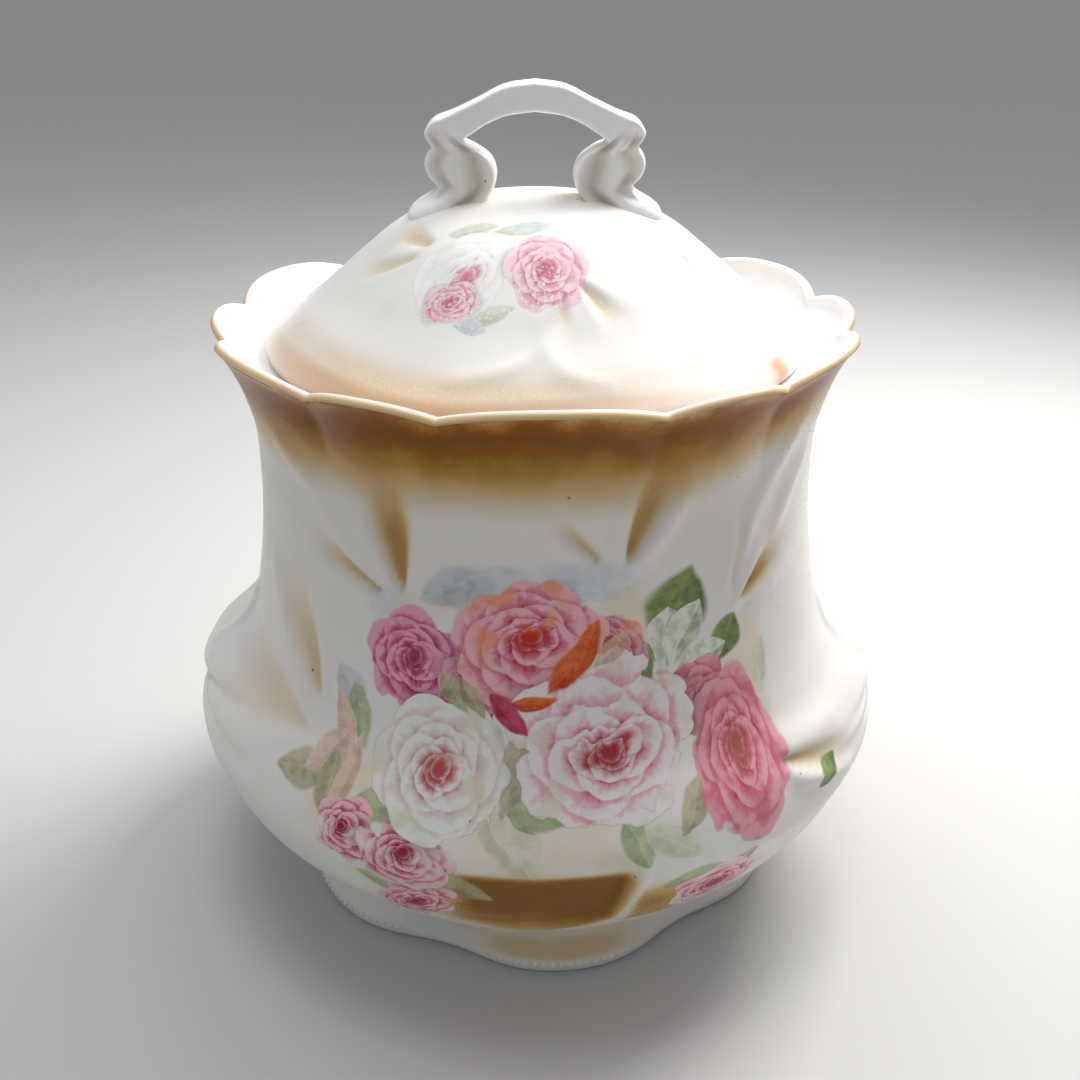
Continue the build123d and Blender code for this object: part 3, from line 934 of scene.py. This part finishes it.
# colour, strength, (turn in degrees, height in mm), turn of the wash, half sizes in mm
WASHES = (
    (SKY, 0.75, (7.0, 106.5), 0.0, (15.0, 5.0)),
    (SLATE, 0.85, (-12.0, 104.0), 8.0, (11.0, 6.0)),
    (SLATE, 0.65, (-4.0, 106.5), -10.0, (7.0, 4.0)),
    (SLATE, 0.60, (3.0, 103.5), 0.0, (9.0, 4.0)),
    (SKY, 0.6, (-27.0, 98.0), 20.0, (7.0, 5.0)),
    (SAND, 0.5, (-20.0, 99.5), 10.0, (12.0, 4.5)),
    (SAND, 0.75, (17.5, 98.5), -40.0, (9.0, 8.0)),
    (SAND, 0.7, (40.0, 80.0), 60.0, (14.0, 8.0)),
    (LIME, 0.55, (43.0, 70.0), 80.0, (16.0, 5.0)),
    (SAND, 0.8, (-30.0, 57.0), 60.0, (12.0, 9.0)),
    (SAND, 0.55, (1.0, 54.0), 0.0, (18.0, 10.0)),
    (LIME, 0.5, (16.0, 50.0), 0.0, (12.0, 5.0)),
    (LIME, 0.6, (-20.0, 41.0), -20.0, (14.0, 8.0)),
    (WHITE, 0.85, (24.0, 46.5), -15.0, (12.0, 6.0)),
)

# kind, (turn in degrees, height in mm), turn of the leaf, half length, half width
LEAVES_BEHIND = (
    ("blue", (-15.0, 104.0), 28.0, 8.5, 4.4),
    ("mist", (-5.0, 105.5), -12.0, 8.0, 3.6),
    ("blue", (6.0, 104.0), -8.0, 6.5, 3.4),
    ("mist", (13.0, 104.5), 5.0, 8.0, 3.6),
    ("lime", (-2.0, 53.0), -75.0, 8.0, 4.5),
    ("lime", (-5.5, 56.0), -50.0, 7.0, 3.6),
    ("fresh", (0.0, 60.0), -20.0, 7.0, 3.6),
    ("fresh", (15.0, 53.5), -70.0, 6.0, 3.4),
    ("lime", (20.5, 52.0), -40.0, 7.0, 3.4),
    ("lime", (45.0, 78.0), 75.0, 7.0, 3.0),
    ("blue", (-34.5, 76.5), -55.0, 6.5, 4.2),
    ("fresh", (-31.5, 72.0), -65.0, 7.0, 3.5),
    ("peach", (-34.0, 68.0), -62.0, 9.5, 2.8),
    ("olive", (-38.5, 59.0), 15.0, 8.0, 4.6),
    ("peach", (-36.0, 63.5), 50.0, 6.0, 3.6),
    ("olive", (-33.0, 57.0), -75.0, 7.5, 3.6),
    ("peach", (-31.0, 60.0), 82.0, 9.0, 2.2),
    ("fresh", (-24.0, 57.5), 15.0, 8.0, 3.6),
    ("deep", (26.0, 97.0), 66.0, 10.5, 8.6),
    ("frosted", (23.6, 91.0), 85.0, 7.0, 5.0),
    ("frosted", (27.5, 91.5), 60.0, 7.5, 4.6),
    ("deep", (36.8, 87.5), 60.0, 6.5, 4.8),
    ("frosted", (31.0, 85.0), 10.0, 7.0, 4.2),
    ("deep", (18.5, 88.0), -60.0, 6.0, 3.4),
    ("olive", (-3.5, 67.0), 80.0, 9.0, 3.4),
    ("olive", (-2.0, 77.0), -60.0, 6.0, 3.0),
    ("olive", (-21.0, 79.5), -20.0, 7.0, 3.0),
    ("olive", (24.5, 57.5), 60.0, 6.0, 3.0),
    ("deep", (52.0, 51.0), 30.0, 5.0, 2.6),
    ("olive", (-12.5, 42.5), -35.0, 9.0, 4.0),
    ("fresh", (-21.0, 40.0), -10.0, 8.0, 3.6),
    ("fresh", (24.0, 42.0), 10.0, 7.0, 3.0),
    ("olive", (31.0, 41.0), 30.0, 6.0, 2.6),
)

# kind, (turn in degrees, height in mm), turn of the rose, half width, half height, heart's lift
ROSES = (
    ("magenta", (-21.8, 87.0), 20.0, 12.5, 12.0, 0.0),
    ("magenta", (-11.0, 82.0), 75.0, 9.5, 8.0, 0.1),
    ("raspberry", (30.0, 76.5), 60.0, 9.0, 9.5, -0.2),
    ("mauve", (12.5, 90.0), -20.0, 10.0, 9.0, 0.3),
    ("mauve", (-1.0, 92.0), 8.0, 17.5, 15.5, 0.18),
    ("raspberry", (35.2, 63.5), -6.0, 11.5, 18.5, 0.05),
    ("bud", (-28.6, 51.0), 70.0, 7.5, 7.5, 0.2),
    ("bud", (-18.5, 35.0), 40.0, 9.5, 7.0, 0.0),
    ("bud", (-19.0, 48.5), 15.0, 10.0, 9.0, 0.1),
    ("bud", (28.5, 36.0), 10.0, 10.5, 7.5, 0.0),
    ("white", (-15.6, 66.5), -25.0, 14.8, 14.5, -0.1),
    ("blush", (11.4, 73.3), 12.0, 20.8, 18.0, -0.36),
)

LEAVES_IN_FRONT = (
    ("orange", (6.8, 88.0), 48.0, 8.5, 3.6),
    ("orange", (9.2, 92.0), 66.0, 6.5, 2.6),
    ("peach", (13.5, 90.5), 40.0, 6.0, 2.4),
    ("orange", (-0.5, 80.0), 8.0, 6.0, 1.8),
    ("crimson", (-4.5, 77.5), -50.0, 6.0, 2.8),
    ("fresh", (-14.0, 81.0), -55.0, 5.5, 2.6),
    ("olive", (-10.5, 80.0), -60.0, 5.0, 2.2),
)


# the same for the lid, with places in mm across it, seen from above
LID_LEAVES = (
    ("faded", (-13.0, -22.0), 5.0, 6.0, 2.8),
    ("faded", (-3.0, -23.5), 4.0, 6.5, 2.4),
    ("blue", (-1.0, -22.0), 12.0, 6.0, 2.0),
    ("faded", (-9.5, -43.0), 10.0, 6.0, 2.2),
    ("blue", (-13.0, -44.5), -20.0, 4.0, 1.8),
)

LID_ROSES = (
    ("pale", (-14.5, -33.0), 10.0, 11.5, 10.0, -0.2),
    ("worn", (2.5, -34.5), 30.0, 9.0, 9.0, 0.0),
    ("worn", (-17.0, -38.5), -20.0, 6.5, 4.2, 0.0),
)


def on_print(items, at=1):
    """The same items with the turn of their place, which is value number at, in millimetres."""
    moved = []
    for item in items:
        turn, height = item[at]
        moved.append((*item[:at], (turn * DEGREE, height), *item[at + 1 :]))
    return moved


def wobble(shader, place, coarse, fine):
    """The place moved about a little, so that painted edges aren't ruled."""
    slow = shader.vector("SUBTRACT", shader.noise(place, 0.12, 1.5, colour=True), (0.5, 0.5, 0.5))
    quick = shader.vector("SUBTRACT", shader.noise(place, 0.6, 2.0, colour=True), (0.5, 0.5, 0.5))
    place = shader.vector("ADD", place, shader.vector("SCALE", slow, coarse))
    return shader.vector("ADD", place, shader.vector("SCALE", quick, fine))


def specks(shader, place, colour):
    """A few dark iron specks under the glaze."""
    far = shader.cells(place, 0.085)
    return shader.mix(shader.span(far, 0.035, 0.018, 0.0, 0.75), colour, IRON)


def glaze(shader, place, colour):
    """A satin glaze with a slightly wavy skin over the colour."""
    surface = shader.surface
    waves = shader.noise(place, 0.045, 2.0)
    orange_peel = shader.noise(place, 0.55, 2.0)
    dust = shader.noise(place, 1.9, 3.0, 0.6)
    rough = shader.span(waves, 0.3, 0.7, 0.25, 0.36)
    rough = shader.add(rough, shader.span(dust, 0.4, 0.75, 0.0, 0.07))
    normal = shader.bump(waves, 0.6 * MM, strength=0.15)
    normal = shader.bump(orange_peel, 0.025 * MM, normal, 0.3)
    normal = shader.bump(dust, 0.002 * MM, normal, 0.2)
    for key, value in (("Base Color", colour), ("Roughness", rough), ("Normal", normal)):
        shader.put(surface.inputs[key], value)
    surface.inputs["Specular IOR Level"].default_value = 0.17
    surface.inputs["Coat Weight"].default_value = 0.07
    surface.inputs["Coat Roughness"].default_value = 0.16
    return shader.material


def jar_porcelain():
    shader = Shader("jar_glaze")
    place = shader.object_mm()
    x, y, height = shader.split(place)
    turn = shader.math("ARCTAN2", x, shader.times(y, -1.0))
    flat = shader.join(shader.times(turn, math.degrees(1) * DEGREE), height, 0.0)
    painted = wobble(shader, flat, 2.6, 0.3)
    uneven = shader.span(shader.noise(place, 0.12, 3.0), 0.3, 0.7, -0.07, 0.07)
    grain = shader.span(shader.noise(place, 2.6, 2.0), 0.3, 0.7, -0.03, 0.03)
    drift = shader.add(uneven, grain)
    tint = shader.attribute("tint")
    spray = shader.times(tint, shader.add(drift, 1.0))
    colour = shader.ramp(spray, OCHRE_STOPS)
    colour = paint_washes(shader, painted, colour, on_print(WASHES, at=2))
    colour = paint_leaves(shader, painted, colour, on_print(LEAVES_BEHIND))
    colour = paint_roses(shader, painted, colour, on_print(ROSES))
    colour = paint_leaves(shader, painted, colour, on_print(LEAVES_IN_FRONT))
    collar = shader.attribute("collar")
    sprayed = shader.add(collar, shader.times(drift, collar))
    # the spray lies over the rest like a filter
    brown = shader.vector("DIVIDE", shader.ramp(sprayed, COLLAR_STOPS), PORCELAIN)
    colour = shader.vector("MULTIPLY", colour, brown)
    white = shader.mix(shader.attribute("lip"), INSIDE_WHITE, GILT)
    colour = shader.mix(shader.attribute("bare"), colour, white)
    colour = specks(shader, place, colour)
    return glaze(shader, place, colour)


def lid_porcelain():
    shader = Shader("lid_glaze")
    place = shader.object_mm()
    x, y, _ = shader.split(place)
    flat = shader.join(x, y, 0.0)
    painted = wobble(shader, flat, 2.0, 0.4)
    colour = shader.ramp(shader.times(shader.attribute("tint"), 0.6), OCHRE_STOPS)
    colour = paint_leaves(shader, painted, colour, LID_LEAVES)
    worn = paint_roses(shader, painted, colour, LID_ROSES)
    loss = shader.span(shader.noise(place, 1.1, 4.0, 0.7), 0.56, 0.62)
    low_part = shader.span(y, -32.0, -37.0)
    colour = shader.mix(shader.times(loss, low_part), worn, PORCELAIN)
    band = shader.attribute("band")
    warm = shader.attribute("warm")
    fleck = shader.span(shader.cells(place, 1.9), 0.10, 0.30)
    cloud = shader.span(shader.noise(place, 0.09, 2.0), 0.35, 0.65)
    pearl = shader.mix(cloud, ROSY, LILAC)
    lustre = shader.mix(warm, pearl, LUSTRE)
    lustre = shader.mix(fleck, FLECK, lustre)
    rust = shader.times(shader.span(band, 0.84, 1.0, 0.0, 0.9), warm)
    rust = shader.math("MAXIMUM", rust, shader.attribute("patch"))
    lustre = shader.mix(rust, lustre, RUST)
    colour = shader.mix(shader.span(band, 0.0, 0.8, 0.0, 0.9), colour, lustre)
    feet = shader.vector("DISTANCE", shader.join(shader.absolute(x), y, 0.0), (14.0, 4.0, 0.0))
    colour = shader.mix(shader.span(feet, 17.0, 6.0, 0.0, 0.35), colour, TEA)
    colour = shader.mix(shader.attribute("inner"), colour, PORCELAIN)
    colour = specks(shader, place, colour)
    return glaze(shader, place, colour)


def handle_porcelain():
    shader = Shader("handle_glaze")
    place = shader.object_mm()
    hollow = shader.attribute("hollow")
    cloud = shader.span(shader.noise(place, 0.25, 2.0), 0.3, 0.7, 0.6, 1.1)
    stain = shader.times(hollow, cloud)
    # the handle is painted a brighter white than the lid, as painted light on the strap
    colour = shader.mix(shader.times(stain, 0.7), HANDLE_WHITE_PAINTED_LIGHT, STAIN)
    colour = specks(shader, place, colour)
    return glaze(shader, place, colour)


jar = make_jar()
add_beads(jar)
lid = make_lid()
handle = make_handle()
for piece, body, node, slot, material in (
    (jar, "jar", "jar_body", "jar_porcelain", jar_porcelain()),
    (lid, "lid", "lid_dome", "lid_porcelain", lid_porcelain()),
    (handle, "lid", "lid_handle", "handle_porcelain", handle_porcelain()),
):
    piece.data.materials.append(material)
    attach(piece, body)
    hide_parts(node)


# ---- floor, light and camera ----
def make_floor():
    mesh = bpy.data.meshes.new("floor")
    half = 14.0
    corners = [(-half, -half, 0), (half, -half, 0), (half, half, 0), (-half, half, 0)]
    mesh.from_pydata(corners, [], [(0, 1, 2, 3)])
    floor = bpy.data.objects.new("floor", mesh)
    bpy.context.scene.collection.objects.link(floor)
    material = bpy.data.materials.new("floor")
    material.use_nodes = True
    bsdf = material.node_tree.nodes["Principled BSDF"]
    bsdf.inputs["Base Color"].default_value = (0.55, 0.54, 0.525, 1)
    bsdf.inputs["Roughness"].default_value = 0.9
    mesh.materials.append(material)


def area_light(name, place, aim, size, power, colour):
    lamp = bpy.data.lights.new(name, "AREA")
    lamp.shape = "DISK"
    lamp.size = size
    lamp.energy = power
    lamp.color = colour
    rig = bpy.data.objects.new(name, lamp)
    rig.location = place
    rig.rotation_euler = (Vector(aim) - Vector(place)).to_track_quat("-Z", "Y").to_euler()
    bpy.context.scene.collection.objects.link(rig)


def make_lights():
    aim = (0, 0, 0.1)
    day = (0.98, 0.99, 1.0)
    area_light("window", (0.28, 0.26, 0.50), aim, size=0.34, power=4.4, colour=(1.0, 0.99, 0.98))
    area_light("skylight", (-0.06, 0.08, 0.72), aim, size=0.5, power=2.3, colour=day)
    area_light("fill", (-0.9, -0.4, 0.5), aim, size=0.9, power=0.45, colour=day)
    world = bpy.data.worlds.new("studio")
    world.use_nodes = True
    tree = world.node_tree
    # the light from the world grows from the horizon up
    direction = tree.nodes.new("ShaderNodeTexCoord")
    parts = tree.nodes.new("ShaderNodeSeparateXYZ")
    height = tree.nodes.new("ShaderNodeMapRange")
    for key, value in (("From Min", -0.1), ("From Max", 0.9), ("To Min", 0.10), ("To Max", 0.56)):
        height.inputs[key].default_value = value
    tree.links.new(direction.outputs["Generated"], parts.inputs[0])
    tree.links.new(parts.outputs["Z"], height.inputs["Value"])
    tree.links.new(height.outputs[0], tree.nodes["Background"].inputs["Strength"])
    tree.nodes["Background"].inputs["Color"].default_value = (0.93, 0.95, 1.0, 1)
    bpy.context.scene.world = world


def make_camera():
    """A camera close to the jar, a little above the handle, looking down on it."""
    data = bpy.data.cameras.new("camera")
    data.sensor_width = 36.0
    data.lens = 43.33
    aside = 1.1
    in_front = 297.5
    above_handle = 30.7
    looking_down = 25.4
    camera = bpy.data.objects.new("camera", data)
    camera.location = (aside * MM, -in_front * MM, (HANDLE_TOP + above_handle) * MM)
    camera.rotation_euler = (math.radians(90 - looking_down), 0, 0)
    bpy.context.scene.collection.objects.link(camera)
    bpy.context.scene.camera = camera


make_floor()
make_lights()
make_camera()
bpy.context.scene.view_settings.view_transform = "Standard"
